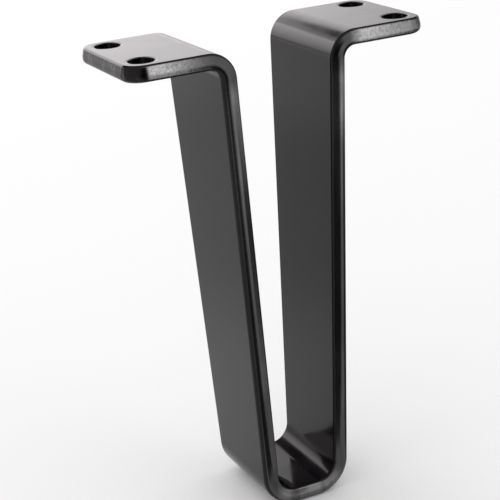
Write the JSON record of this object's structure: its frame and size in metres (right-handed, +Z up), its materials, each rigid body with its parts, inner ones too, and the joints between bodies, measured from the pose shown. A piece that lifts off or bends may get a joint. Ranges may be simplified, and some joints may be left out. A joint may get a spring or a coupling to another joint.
{
  "type": "furniture leg",
  "caption": "V-shaped furniture leg bent from a tapered flat steel bar, painted black, with drilled top flanges that screw up under a seat or cabinet and a short flat foot.",
  "frame": {"origin": "middle of the foot's underside, where the leg meets the floor", "axes": "+Z up from the floor to the flanges that bolt against the furniture, +X from flange to flange, +Y across the width of the bar"},
  "size_m": [0.097, 0.0408, 0.15],
  "materials": {
    "black_paint": "satin"
  },
  "bodies": {
    "root": {"leg_bar": "black_paint"}
  },
  "joints": []
}
